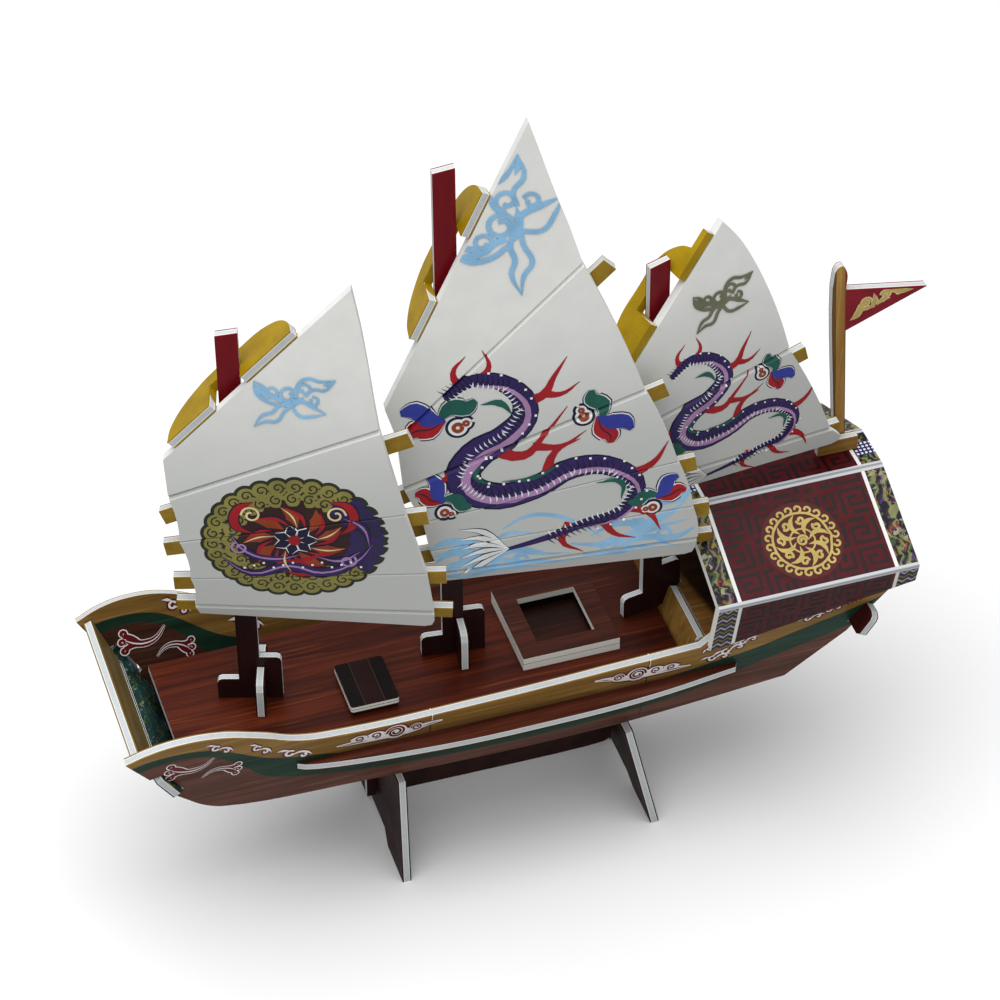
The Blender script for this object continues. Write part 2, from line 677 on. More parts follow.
LEECH_CURVE = {
    # points of the top panel's bowed aft edge, from the crease up
    "fore": [(43.8, 205.0, 8.5), (42.4, 217.0, 7.1), (40.5, 231.0, 5.4)],
    "main": [(36.8, 247.5, 8.2), (32.6, 260.1, 6.6), (28.7, 273.0, 5.1)],
    "mizzen": [(39.2, 188.0, 9.0), (35.6, 199.5, 7.4), (30.9, 211.5, 5.9), (25.3, 222.6, 4.5)],
}
SAIL_HALF_THICK = 1.5
# the rounded lower aft corner, as steps (along, up) from the square one
ROUND_CORNER = ((-3.2, 0.15), (-0.9, 0.9), (-0.1, 3.2))
WIDE_SCORE, FINE_SCORE = (1.05, 1.3), (0.4, 0.6)
SCORES = {"fore": (1, 0, 0, 1), "main": (1, 1, 0, 0, 1), "mizzen": (1, 1)}
# how far the edges bow aft between two battens: at the luff, and at the leech
BOWS = {"fore": (0.9, 0.0), "main": (0.0, 0.9), "mizzen": (0.0, 1.0)}
PANEL_STEP = 7.0


def across(low, high, share):
    return low + (high - low) * share


def on_polyline(points, height):
    """(along, out) where a line of (along, height, out) points passes a height."""
    for upper, lower in zip(points, points[1:]):
        if height >= lower[1]:
            break
    share = (upper[1] - height) / (upper[1] - lower[1]) if upper[1] != lower[1] else 0.0
    share = min(max(share, 0.0), 1.0)
    return across(upper[0], lower[0], share), across(upper[2], lower[2], share)


def rounded(points, steps=4):
    """More points along a smooth curve that passes through all of these."""
    ends = [points[0]] + points + [points[-1]]
    curve = []
    for before, start, end, after in zip(ends, ends[1:], ends[2:], ends[3:]):
        for t in [step / steps for step in range(steps)]:
            curve.append(tuple(
                q + 0.5 * t * (r - p + t * (2 * p - 5 * q + 4 * r - s + t * (3 * q - p - 3 * r + s)))
                for p, q, r, s in zip(before, start, end, after)
            ))
    return curve + [points[-1]]


class Sail:
    """One sail's shape: how far out to port its middle surface lies, and its points in the ship."""

    def __init__(self, name):
        self.rows = CREASES[name]
        self.peak, self.corner = self.rows[0][:3], LUFF_CORNER[name]
        self.foot = MASTS[name]
        turn = radians(self.foot[2])
        self.along = Vector((cos(turn), sin(turn), 0))
        self.port = Vector((self.along.y, -self.along.x, 0))
        self.luff = [self.peak, self.corner, self.rows[1][:3]]
        self.leech = rounded([self.peak] + LEECH_CURVE[name][::-1] + [self.rows[1][3:]])
        self.scores = [WIDE_SCORE if wide else FINE_SCORE for wide in SCORES[name]]
        self.luff_bow, self.leech_bow = BOWS[name]

    def row_at(self, number, s):
        row = self.rows[number]
        share = (s - row[0]) / (row[3] - row[0])
        return across(row[1], row[4], share), across(row[2], row[5], share)

    def out(self, s, z):
        crease = self.row_at(1, s)[0]
        if z >= crease - 1e-4:
            fore, fore_out = on_polyline(self.luff, z)
            aft, aft_out = on_polyline(self.leech, z)
            if z < self.rows[1][4]:
                first = self.rows[1]
                aft = first[0] + (z - first[1]) / (first[4] - first[1]) * (first[3] - first[0])
                aft_out = self.row_at(1, aft)[1]
            return across(fore_out, aft_out, min(max((s - fore) / max(aft - fore, 1.0), 0.0), 1.0))
        for number in range(2, len(self.rows)):
            upper, upper_out = self.row_at(number - 1, s)
            lower, lower_out = self.row_at(number, s)
            if z >= lower:
                break
        return across(upper_out, lower_out, (upper - z) / (upper - lower))

    def score_depth(self, s, z):
        for number, (half, depth) in enumerate(self.scores, 1):
            off = abs(z - self.row_at(number, s)[0])
            if off < half:
                return depth * (1 - off / half)
        return 0.0

    def spot(self, s, z, lift):
        """A point of the ship: a place on the sail, and how far it stands out from the board's middle."""
        out = self.out(s, z) + lift
        if lift > 0:
            out -= self.score_depth(s, z)
        return (Vector((self.foot[0] - MIDDLE_X, self.foot[1], z)) + self.along * s + self.port * out) * MM

    def outline(self):
        """The flat board's edge, bowed a little between the battens, its lower aft corner round."""
        rows = self.rows
        fore = [row[:2] for row in rows[1:]]
        aft = [row[3:5] for row in rows[1:]]
        edge = [self.peak[:2], self.corner[:2]]
        for upper, lower in zip(fore, fore[1:]):
            edge += [upper] + bowed(upper, lower, self.luff_bow)
        edge.append(fore[-1])
        edge += [(aft[-1][0] + along, aft[-1][1] + up) for along, up in ROUND_CORNER]
        for upper, lower in list(zip(aft, aft[1:]))[:-1][::-1]:
            edge += [lower] + bowed(upper, lower, self.leech_bow)[::-1]
        return edge + [aft[0]] + [spot[:2] for spot in self.leech[1:-1][::-1]]


BOW_SHAPE = ((0.15, 0.5), (0.32, 0.85), (0.5, 1.0), (0.68, 0.85), (0.85, 0.5))
LEAST_BOWED = 8


def bowed(upper, lower, bow):
    """Points between two battens' ends, moved aft by bow; a narrow panel's edge stays straight."""
    if not bow or upper[1] - lower[1] <= LEAST_BOWED:
        return []
    return [
        (across(upper[0], lower[0], t) + bow * share, across(upper[1], lower[1], t))
        for t, share in BOW_SHAPE
    ]


def cut_along(mesh, point, normal, dist=1e-5, drop_outside=False):
    parts = mesh.verts[:] + mesh.edges[:] + mesh.faces[:]
    bmesh.ops.bisect_plane(
        mesh, geom=parts, dist=dist, plane_co=point, plane_no=normal, clear_outer=drop_outside
    )


def cut_at_scores(mesh, sail):
    for number, (half, _) in enumerate(sail.scores, 1):
        row = sail.rows[number]
        normal = Vector((row[1] - row[4], row[3] - row[0], 0)).normalized()
        for shift in (-half, 0.0, half):
            cut_along(mesh, Vector((row[0], row[1] + shift, 0)), normal)


def on_the_board(edge, x, y):
    """Whether a flat spot lies inside the board's edge."""
    inside = False
    for (x0, y0), (x1, y1) in zip(edge, edge[1:] + edge[:1]):
        if (y0 > y) != (y1 > y) and x < x0 + (y - y0) / (y1 - y0) * (x1 - x0):
            inside = not inside
    return inside


def kept_on_the_board(mesh, edge):
    """Cuts a flat drawing along the board's edge and drops what lies outside."""
    for (x0, y0), (x1, y1) in zip(edge, edge[1:] + edge[:1]):
        cut_along(mesh, Vector((x0, y0, 0)), Vector((y0 - y1, x1 - x0, 0)).normalized())
    outside = [face for face in mesh.faces if not on_the_board(edge, *face.calc_center_median()[:2])]
    bmesh.ops.delete(mesh, geom=outside, context="FACES")


def plain_finish(name, painter, roughness, strength=0.3):
    made, tree, shader = new_finish(name, 0.2)
    shader["Roughness"].default_value = roughness
    color, height = painter(tree, wire(tree, "TexCoord").outputs["Object"])
    tree.links.new(color, shader["Base Color"])
    raised(tree, shader, height, strength, 0.00005)
    return made


def sail_card(tree, place):
    """White card, a shade grayer towards the foot."""
    color, relief = flat_ink(tree, place, ink(233, 234, 230), ink(239, 240, 236))
    return blend_ink(tree, step_up(tree, in_mm(tree, place)[2], 225, 155), color, ink(196, 198, 195)), relief


SAIL_CARD = plain_finish("sail_card", sail_card, 0.42)
WHITE_FOAM = plain_finish("white_foam", flat_print((222, 224, 224), (234, 234, 230)), 0.75, 0.5)

for name in CREASES:
    sail = Sail(name)
    board = bmesh.new()
    face = board.faces.new([board.verts.new((s, z, SAIL_HALF_THICK)) for s, z in sail.outline()])
    thickened(board, [face], (0, 0, -2 * SAIL_HALF_THICK))
    cut_at_scores(board, sail)
    low, high = sail.rows[-1][4] - 8, sail.peak[1]
    for step in range(1, int((high - low) / PANEL_STEP) + 1):
        cut_along(board, Vector((0, low + step * PANEL_STEP, 0)), Vector((0, 1, 0)))
    for step in range(-4, 13):
        cut_along(board, Vector((step * PANEL_STEP, 0, 0)), Vector((1, 0, 0)))
    bmesh.ops.recalc_face_normals(board, faces=board.faces)
    for face in board.faces:
        face.material_index = 0 if abs(face.normal.z) > 0.5 else 1
    for vertex in board.verts:
        s, z, lift = vertex.co
        vertex.co = sail.spot(s, z, lift)
    piece = finished(name + "_sail_board", board, [SAIL_CARD, WHITE_FOAM])
    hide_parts(name + "_sail")

# The sails' prints
# Bright inks lie flat on each sail: a knot near the peak, a rosette on the fore sail, and on the other two a
# long scaled purple sash with red forks and flowers. They keep too close to the layout of the real model's
# own prints, and on the main and mizzen sail to the figure too: an open failure, which report.md explains.

HABITS = {
    # a stroke's width along its length, as a share of its full width; a square stroke also has sharp corners
    "line": lambda t: 1.0,
    "leaf": lambda t: max(sin(pi * t), 0.05),
    "tail": lambda t: max(1.0 - t, 0.05),
    "drop": lambda t: max(1.0 - t, 0.05) ** 0.5 * min(1.0, 0.35 + 2.2 * t),
    "petal": lambda t: max(sin(pi * min(t, 0.96)), 0.05) ** 0.6,
    "sash": lambda t: min(1.0, 0.25 + 2.4 * t) * min(1.0, 0.12 + 1.5 * (1 - t)),
    "ribbon": lambda t: min(1.0, 0.2 + 3.0 * (1 - t)),
    "square": lambda t: 1.0,
}
# how far each ink lies above the last, and how flat a round stroke is pressed
LAYER_LIFT = 0.021
FLATTENED = 0.01


def curl(x, y, radius, start, turns, shrink=0.75):
    """Points of a spiral that winds in from a point on its rim."""
    steps = max(4, int(abs(turns) * 8))
    points = []
    for step in range(steps + 1):
        angle = radians(start) + 2 * pi * turns * step / steps
        reach = radius * (1 - shrink * step / steps)
        points.append((x + reach * cos(angle), y + reach * sin(angle)))
    return points


def speck(x, y, half, width):
    return [(x - half, y), (x, y), (x + half, y)], width, "line"


def moved(strokes, x, y, size=1.0, turn=0.0, flip=1):
    """The same strokes at another place, size and slant; their widths scale with them."""
    c, s = cos(radians(turn)) * size, sin(radians(turn)) * size
    return [
        ([(x + flip * u * c - v * s, y + flip * u * s + v * c) for u, v in points], width * size, habit)
        for points, width, habit in strokes
    ]


def wider(strokes, by):
    return [(points, width + by, habit) for points, width, habit in strokes]


def thinner(strokes, share):
    return [(points, width * share, habit) for points, width, habit in strokes]


def lined(strokes, width):
    """A fine line down the middle of every stroke."""
    return [(points, width, "leaf") for points, _, _ in strokes]


def brushwork(layers, place, prepare=None):
    """Layers of brush strokes, one ink to a layer, each lying a little above the last on a board's face."""
    printed = bmesh.new()
    for level, strokes in enumerate(layers):
        curve = bpy.data.curves.new("strokes", "CURVE")
        curve.dimensions = "3D"
        curve.bevel_depth = 1.0
        curve.bevel_resolution = 0
        curve.resolution_u = 4
        curve.use_fill_caps = True
        for points, width, habit in strokes:
            spline = curve.splines.new("BEZIER")
            spline.bezier_points.add(len(points) - 1)
            for turn, (knot, (u, v)) in enumerate(zip(spline.bezier_points, points)):
                knot.co = (u, v, 0)
                knot.radius = width / 2 * HABITS[habit](turn / (len(points) - 1))
                knot.handle_left_type = knot.handle_right_type = "VECTOR" if habit == "square" else "AUTO"
        drawn = bpy.data.objects.new("strokes", curve)
        flat = bpy.data.meshes.new_from_object(drawn)
        layer = bmesh.new()
        layer.from_mesh(flat)
        for vertex in layer.verts:
            vertex.co.z = vertex.co.z * FLATTENED + LAYER_LIFT * (level + 1)
        for face in layer.faces:
            face.material_index = level
        layer.to_mesh(flat)
        layer.free()
        printed.from_mesh(flat)
        bpy.data.objects.remove(drawn)
    if prepare:
        prepare(printed)
    for vertex in printed.verts:
        vertex.co = place(*vertex.co)
    return printed


def inked(name, printed, tints):
    """Makes a piece of brushwork, one ink to each of its layers."""
    finished(name, printed, [INKS[tint] for tint in tints], 0)


def printed_ink(name, color):
    pale = [min(255, part * 1.12 + 4) for part in color]
    return plain_finish("ink_" + name, flat_print(color, pale), 0.4, 0.1)


INKS = {
    name: printed_ink(name, color)
    for name, color in {
        "navy": (22, 20, 48),
        "purple": (44, 30, 86),
        "lilac": (158, 122, 162),
        "crimson": (150, 22, 30),
        "rust": (134, 54, 24),
        "brown": (46, 24, 24),
        "olive": (126, 120, 62),
        "moss": (38, 42, 28),
        "teal": (26, 84, 74),
        "blue": (44, 54, 140),
        "sky": (132, 178, 212),
        "pale": (216, 220, 220),
        "cream": (214, 196, 150),
        "gray": (104, 104, 84),
        "white": (232, 232, 230),
        "dark_red": (96, 18, 24),
        "fret": (25, 6, 9),
        "cabin_red": (74, 10, 17),
        "gold": (178, 160, 88),
    }.items()
}

CLOUD_KNOT = [
    # a looped knot with four flame-like ends, about two units wide
    (curl(0.32, 0.18, 0.16, 200, -1.1, 0.6), 0.065, "line"),
    (curl(-0.06, 0.08, 0.19, 20, 1.1, 0.6), 0.07, "line"),
    (curl(-0.38, 0.2, 0.13, -60, 1.0, 0.6), 0.06, "line"),
    (curl(0.44, -0.12, 0.12, 90, -1.0, 0.6), 0.06, "line"),
    ([(0.1, 0.0), (0.2, 0.32), (0.42, 0.44), (0.66, 0.34), (1.0, 0.34)], 0.075, "ribbon"),
    ([(0.3, 0.02), (0.48, 0.16), (0.72, 0.12), (1.0, 0.34)], 0.07, "ribbon"),
    ([(0.7, 0.24), (0.84, 0.26), (0.98, 0.33)], 0.1, "leaf"),
    ([(-0.2, -0.05), (-0.34, 0.06), (-0.52, 0.14), (-0.52, 0.32), (-0.7, 0.5)], 0.09, "ribbon"),
    ([(-0.3, -0.12), (-0.54, 0.0), (-0.7, 0.22), (-0.7, 0.5)], 0.08, "ribbon"),
    ([(-0.56, 0.12), (-0.62, 0.24), (-0.68, 0.42)], 0.14, "leaf"),
    ([(-0.1, -0.1), (-0.3, -0.16), (-0.46, -0.3), (-0.66, -0.34), (-0.9, -0.6)], 0.075, "ribbon"),
    ([(0.0, -0.16), (-0.2, -0.3), (-0.4, -0.52), (-0.62, -0.5), (-0.9, -0.6)], 0.07, "ribbon"),
    ([(0.0, -0.05), (0.22, -0.1), (0.42, -0.26), (0.66, -0.46)], 0.09, "ribbon"),
    ([(-0.02, -0.2), (0.1, -0.44), (0.36, -0.48), (0.66, -0.46)], 0.07, "ribbon"),
    ([(-0.3, -0.1), (-0.1, -0.14), (0.12, -0.08), (0.28, 0.02)], 0.15, "leaf"),
]


def blossom():
    """Three broad leaves, blue, crimson and teal, and a round cream bud, about two units wide."""
    leaves = [
        ([(0.1, 0), (-0.3, 0.2), (-0.6, 0.56), (-1.0, 0.62)], 0.6, "petal"),
        ([(0.1, 0), (-0.4, -0.14), (-0.8, -0.06), (-1.05, -0.2)], 0.62, "petal"),
        ([(-0.1, 0.05), (0.4, 0.34), (0.8, 0.2), (1.1, 0.34)], 0.56, "petal"),
    ]
    bud = [
        (curl(0.36, -0.36, 0.12, 0, 1.0, 0.0), 0.3, "line"),
        (curl(0.62, -0.3, 0.07, 0, 1.0, 0.0), 0.2, "line"),
    ]
    return leaves, bud


def along_path(path, shares):
    """Spots at those shares of each stretch of a path, with the stretch's direction."""
    for a, b in zip(path, path[1:]):
        u, v = b[0] - a[0], b[1] - a[1]
        size = (u ** 2 + v ** 2) ** 0.5
        for share in shares:
            yield across(a[0], b[0], share), across(a[1], b[1], share), u / size, v / size


SASH_PATH = [
    (-3, 191), (6, 197), (17, 194), (22, 184), (16, 175), (6, 169), (2, 160), (10, 153), (24, 154),
    (37, 160), (50, 158), (57, 149), (52, 140), (40, 137), (28, 133), (14, 130),
]
SASH_WIDE = 10.0
FLAMES = [
    ([(3, 194), (0, 200), (4, 206)], 3.6, "tail"),
    ([(8, 197), (11, 202), (9, 208)], 3.2, "tail"),
    ([(19, 188), (27, 189), (31, 196), (35, 203)], 4.8, "tail"),
    ([(27, 190), (33, 189), (39, 193)], 3.4, "tail"),
    ([(10, 172), (21, 167), (27, 173), (35, 184)], 5.0, "tail"),
    ([(24, 170), (33, 169), (41, 174)], 3.4, "tail"),
    ([(28, 157), (31, 167), (39, 171)], 4.4, "tail"),
    ([(53, 154), (62, 158), (67, 166)], 4.4, "tail"),
    ([(54, 142), (61, 138), (65, 130)], 4.6, "tail"),
    ([(4, 165), (-4, 161), (-8, 153)], 3.6, "tail"),
    ([(36, 138), (33, 131), (40, 125)], 4.4, "tail"),
    ([(46, 138), (50, 131), (57, 128)], 3.6, "tail"),
]
GREEN_LEAVES = [
    ([(8, 188), (14, 188), (18, 183)], 2.6, "leaf"),
    ([(14, 158), (24, 158), (34, 163)], 1.8, "leaf"),
    ([(44, 153), (52, 152), (52, 145)], 2.2, "leaf"),
    ([(8, 166), (6, 161), (12, 157)], 2.0, "leaf"),
]


def sash_figure(spots, waves):
    """The scaled sash with its forks, flowers and waves: a list of strokes for each ink, lowest first."""
    path = SASH_PATH
    sash = [(path, SASH_WIDE, "sash")]
    inner = [([(x + 0.8, y - 1.9) for x, y in path[1:-2]], 3.0, "sash")]
    fringe = [
        ([(16, 130.5), (8, 131 + step * 2.6), (0, 129 + step * 4.0)], 2.0, "leaf") for step in range(-2, 4)
    ]
    spaced = along_path(path[1:-2], (0.0, 0.35, 0.7))
    dots = [speck(x - v * 3.7, y + u * 3.7, 0.4, 0.8) for x, y, u, v in spaced]
    petals = {"blue": [], "crimson": [], "teal": []}
    buds = []
    leaves, bud = blossom()
    for x, y, size, turn, flip in spots:
        for tint, leaf in zip(petals, leaves):
            petals[tint] += moved([leaf], x, y, size, turn, flip)
        buds += moved(bud, x, y, size, turn, flip)
    colored = [stroke for strokes in petals.values() for stroke in strokes]
    scales, glints = [], []
    for x, y, u, v in along_path(path[:-1], [step / 7 for step in range(7)]):
        scale = [(x - v * 3.8, y + u * 3.8), (x + u * 1.2, y + v * 1.2), (x + v * 1.0, y - u * 1.0)]
        glint = [
            (x + v * 0.2, y - u * 0.2),
            (x + v * 1.6 + u * 0.3, y - u * 1.6 + v * 0.3),
            (x + v * 3.0, y - u * 3.0),
        ]
        scales.append((scale, 0.75, "leaf"))
        glints.append((glint, 0.55, "leaf"))
    return [
        ("sky", waves),
        ("navy", wider(sash, 1.5) + wider(fringe, 0.7) + wider(colored + buds, 1.9)),
        ("pale", wider(colored, 0.9)),
        ("crimson", FLAMES + petals["crimson"]),
        ("purple", sash),
        ("pale", fringe + wider(buds, 0.1)),
        ("navy", scales + lined(colored, 0.5)),
        ("lilac", inner),
        ("pale", glints),
        ("teal", GREEN_LEAVES + petals["teal"]),
        ("blue", petals["blue"]),
        ("white", dots),
        ("rust", thinner(buds, 0.4)),
    ]


WAVES = [
    ([(-8, 128), (-2, 132), (6, 130), (12, 126)], 3.6, "petal"),
    ([(-6.5, 124), (2, 126), (10, 122)], 2.6, "petal"),
    ([(8, 133), (16, 137), (26, 135)], 1.6, "leaf"),
    ([(42, 131), (50, 135), (60, 134), (70, 139)], 3.0, "leaf"),
    ([(54, 127), (64, 131), (74, 133)], 2.2, "leaf"),
    ([(-6, 120.5), (6, 122.5), (22, 119.8)], 1.2, "leaf"),
    ([(-8, 131), (4, 134), (14, 131), (24, 127), (36, 125)], 2.6, "sash"),
    ([(-7, 126), (6, 128), (20, 124), (34, 121.5), (46, 123)], 2.2, "sash"),
    ([(14, 139), (22, 143), (30, 142), (40, 136), (46, 130)], 1.8, "sash"),
    ([(36, 129), (48, 127), (58, 131), (68, 136), (74, 143)], 2.8, "sash"),
    ([(40, 123), (52, 122), (62, 124), (73, 121)], 1.8, "sash"),
    ([(50, 129), (56, 124), (66, 122)], 1.6, "sash"),
    (curl(3, 129, 3.4, 90, -1.2, 0.5), 1.3, "line"),
    (curl(20, 125, 2.8, 100, 1.2, 0.5), 1.2, "line"),
    (curl(48, 126.5, 3.0, 80, -1.1, 0.5), 1.3, "line"),
    (curl(66, 128, 3.0, 200, 1.2, 0.5), 1.2, "line"),
    (curl(-3, 122.5, 2.2, 90, -1.2, 0.5), 1.0, "line"),
    ([(-10, 134), (-4, 136.5), (4, 135), (9, 131)], 3.0, "petal"),
    ([(-8, 121.5), (4, 119.6), (16, 122.0), (26, 120.0)], 2.2, "petal"),
    ([(6, 126), (13, 128.5), (20, 129.5), (27, 127)], 2.4, "petal"),
    ([(58, 137), (64, 141), (71, 142), (76, 147)], 2.6, "petal"),
    ([(50, 124.5), (60, 127.5), (70, 126), (76, 129)], 2.8, "petal"),
    (curl(10, 124.5, 2.4, 30, -1.1, 0.5), 1.4, "line"),
    (curl(58, 134, 2.6, 120, 1.1, 0.5), 1.3, "line"),
]
BLOSSOMS = [
    # (along, height, size, slant in degrees, 1 or -1 to mirror it)
    (-4.0, 183.0, 11.0, 16, 1),
    (-5.0, 153.0, 8.5, -35, 1),
    (45.0, 178.0, 10.0, -60, -1),
    (64.0, 144.0, 8.5, 20, -1),
]


def oval(reach, angle, wide, tall):
    return reach * cos(angle) * wide, reach * sin(angle) * tall


def rosette_figure():
    """A round rosette in a wreath of leaves, about 54 mm wide, as strokes for each ink, lowest first."""
    def ring(count, reach, tilt, length, width, habit="leaf", start=0.0):
        strokes = []
        for step in range(count):
            root, tip = (radians(start + 360 * step / count + turn) for turn in (0, tilt))
            points = [
                oval(reach, root, 1.1, 0.93),
                oval(reach + length / 2, (root + tip) / 2, 1.12, 0.95),
                oval(reach + length, tip, 1.1, 0.93),
            ]
            strokes.append((points, width, habit))
        return strokes

    def lumps(places, radius):
        return [(curl(x, y, radius / 2, 0, 1.0, 0.0), radius, "line") for x, y in places]

    rim = [oval(1, radians(angle), 25.2, 20.6) for angle in range(4, 364, 12)]
    inner_rim = [oval(1, radians(angle), 19.6, 16.2) for angle in range(0, 360, 15)]
    dark_side = [spot for spot in rim + inner_rim if spot[0] > 12 and -12 < spot[1] < 15]
    pale_side = [spot for spot in rim + inner_rim if spot not in dark_side]
    disc = ring(18, 2, 0, 15, 7.0, "line")
    petals = ring(9, 5.5, 24, 9.0, 4.4)
    flares = ring(9, 6.0, 40, 8.0, 1.5, "leaf", 18) + [
        ([(-12, 15), (-17, 12), (-18, 6), (-13, 3)], 3.2, "leaf"),
        ([(11, 15), (17, 13), (18, 6), (14, 2)], 3.2, "leaf"),
        ([(-9, -6), (-3, -9), (4, -8), (10, -5)], 2.0, "leaf"),
        ([(-4, -13), (3, -15), (9, -13)], 1.8, "leaf"),
    ]
    bands = [
        ([(-23, -7), (-14, -14), (-2, -11), (8, -14), (19, -9), (24, -2)], 3.8, "leaf"),
        ([(-20, 3), (-15, -5), (-6, -8), (2, -6)], 2.8, "leaf"),
        ([(6, -7), (14, -9), (20, -5)], 2.6, "leaf"),
        ([(15, 9), (21, 5), (23, -3)], 2.6, "leaf"),
    ]
    pale_curls = [(curl(13, 10, 3.2, 0, 1.3), 0.7, "line"), (curl(-13, 10, 3.2, 180, -1.3), 0.7, "line")]
    lilac_curls = [(curl(16, -9, 2.8, 40, -1.2), 0.7, "line"), (curl(-17, -3, 2.8, 120, 1.2), 0.7, "line")]
    small_curls = [
        (curl(x, y, 1.9, 40 + 31 * number, 1.1), 0.5, "line") for number, (x, y) in enumerate(rim + inner_rim)
    ]
    dots = [speck(-16 + 3.0 * number, -11.6 + number * 7 % 3, 0.35, 0.8) for number in range(13)]
    blooms = ring(7, 1.2, 0, 5.0, 3.6, "petal")
    return [
        ("moss", lumps(rim, 4.0) + lumps(inner_rim, 4.4)),
        ("brown", disc),
        ("olive", lumps(pale_side, 2.9)),
        ("purple", lumps(dark_side, 2.7)),
        ("moss", small_curls),
        ("navy", wider(flares, 1.1) + wider(bands, 1.2) + wider(petals, 1.0)),
        ("rust", petals),
        ("crimson", flares),
        ("purple", bands),
        ("lilac", lined(bands, 0.8) + lilac_curls),
        ("white", wider(blooms, 0.9) + dots),
        ("navy", blooms),
        ("cream", lined(petals[::2], 0.7) + pale_curls),
        ("crimson", lumps([(0, 0)], 2.0)),
    ]


def sail_prints(name, figure, knot_ink, knot):
    sail = Sail(name)
    layers = figure + [(knot_ink, knot)]
    printed = brushwork(
        [strokes for _, strokes in layers],
        lambda s, z, lift: sail.spot(s, z, SAIL_HALF_THICK + lift),
        lambda mesh: (cut_at_scores(mesh, sail), kept_on_the_board(mesh, sail.outline())),
    )
    inked(name + "_sail_print", printed, [tint for tint, _ in layers])


def moved_layers(layers, x, y, size):
    return [(tint, moved(strokes, x, y, size)) for tint, strokes in layers]


round_figure = moved_layers(rosette_figure(), 18.0, 153.6, 1.0)
small_sash = moved_layers(sash_figure(BLOSSOMS[1:3], []), 2.5, 36.5, 0.745)
sail_prints("fore", round_figure, "sky", moved(CLOUD_KNOT, 19.0, 206.5, 14.5, 8))
sail_prints("main", sash_figure(BLOSSOMS, WAVES), "sky", moved(CLOUD_KNOT, 18.2, 251.5, 23.0, 64))
sail_prints("mizzen", small_sash, "gray", wider(moved(CLOUD_KNOT, 18.5, 202.5, 12.4, 14), 0.3))

# The hull's ornaments
# White-edged dark red scrolls are printed on both faces of each side: a pair of flames low on the bow,
# small curls along the sheer, and on the outer faces a long cloud amidships and near the cabin.

# half the hull's breadth to a side's inner and outer face at the deck's top, and its gain with height
INNER_HALF, OUTER_HALF, SIDE_FLARE = 28.85, 31.95, 0.268


def on_side(outward, inside):
    """Places a flat drawing of (x, height) on one side board's outer or inner face."""
    def spot(x, z, lift):
        half = (INNER_HALF - lift if inside else OUTER_HALF + lift) + SIDE_FLARE * (z - DECK_TOP)
        return Vector((x - MIDDLE_X, outward * half, z)) * MM
    return spot


def flame(x, z, size, turn, flip):
    """A dark red flame that trails back from three curled heads."""
    strokes = [
        ([(1, 0), (4, -1.4), (8, -1.8), (11.5, -0.4), (14.5, 3.6)], 3.2, "drop"),
        ([(5.4, -1.4), (2.8, 0.8), (0.4, 1.7)], 1.8, "line"),
        (curl(0.2, 2.6, 1.0, -60, 0.9, 0.5), 1.1, "line"),
        ([(5.4, -1.8), (2.6, -2.2), (0.6, -3.2)], 1.8, "line"),
        (curl(0.4, -3.7, 1.0, 30, -0.9, 0.5), 1.1, "line"),
        (curl(-0.3, -0.6, 1.0, 0, 0.9, 0.5), 1.0, "line"),
    ]
    return moved(strokes, x, z, size, turn, flip)


def small_scroll(x, z, size, turn, flip=1):
    """A white curl between two leaves."""
    strokes = [
        (curl(0, 0, 1.5, 60, 0.85, 0.45), 0.8, "line"),
        ([(-4.4, 0.9), (-2.6, 1.5), (-0.4, 1.5)], 1.2, "leaf"),
        ([(0.6, -1.3), (2.6, 0.7), (5.0, 0.6), (7.0, -0.6)], 1.1, "leaf"),
        (curl(4.4, -0.9, 0.9, 90, -0.8, 0.5), 0.7, "line"),
    ]
    return moved(strokes, x, z, size, turn, flip)


def long_cloud(x, z, size, turn, flip=1):
    """The white body of a trailing cloud, and the dark red lines of the curls in it."""
    body = [
        ([(0, 0.2), (6, 0.8), (12, 1.4), (19, 2.0), (25, 2.8), (30, 4.6), (35, 5.6)], 3.4, "petal"),
        ([(4.8, 1.6), (7.2, 3.0), (9.8, 2.4)], 2.6, "line"),
        ([(10.6, 2.6), (13, 3.8), (15.4, 2.8)], 2.8, "line"),
        (curl(19.6, 3.2, 2.2, 190, -1.0, 0.1), 3.4, "line"),
        (curl(26.4, 4.0, 1.3, 190, -1.0, 0.1), 2.2, "line"),
    ]
    lines = [
        (curl(7.2, 2.4, 1.5, -60, 1.2), 0.6, "line"),
        (curl(12.8, 3.0, 1.8, -90, 1.3), 0.65, "line"),
        (curl(19.6, 3.2, 3.2, 190, -2.1), 0.8, "line"),
        (curl(26.4, 4.0, 1.9, 190, -1.6), 0.6, "line"),
        ([(1, 0.2), (6, 0.6), (11, 1.0)], 0.6, "leaf"),
        ([(28, 3.2), (31, 4.6), (34.4, 5.4)], 0.5, "leaf"),
    ]
    return moved(body, x, z, size, turn, flip), moved(lines, x, z, size, turn, flip)


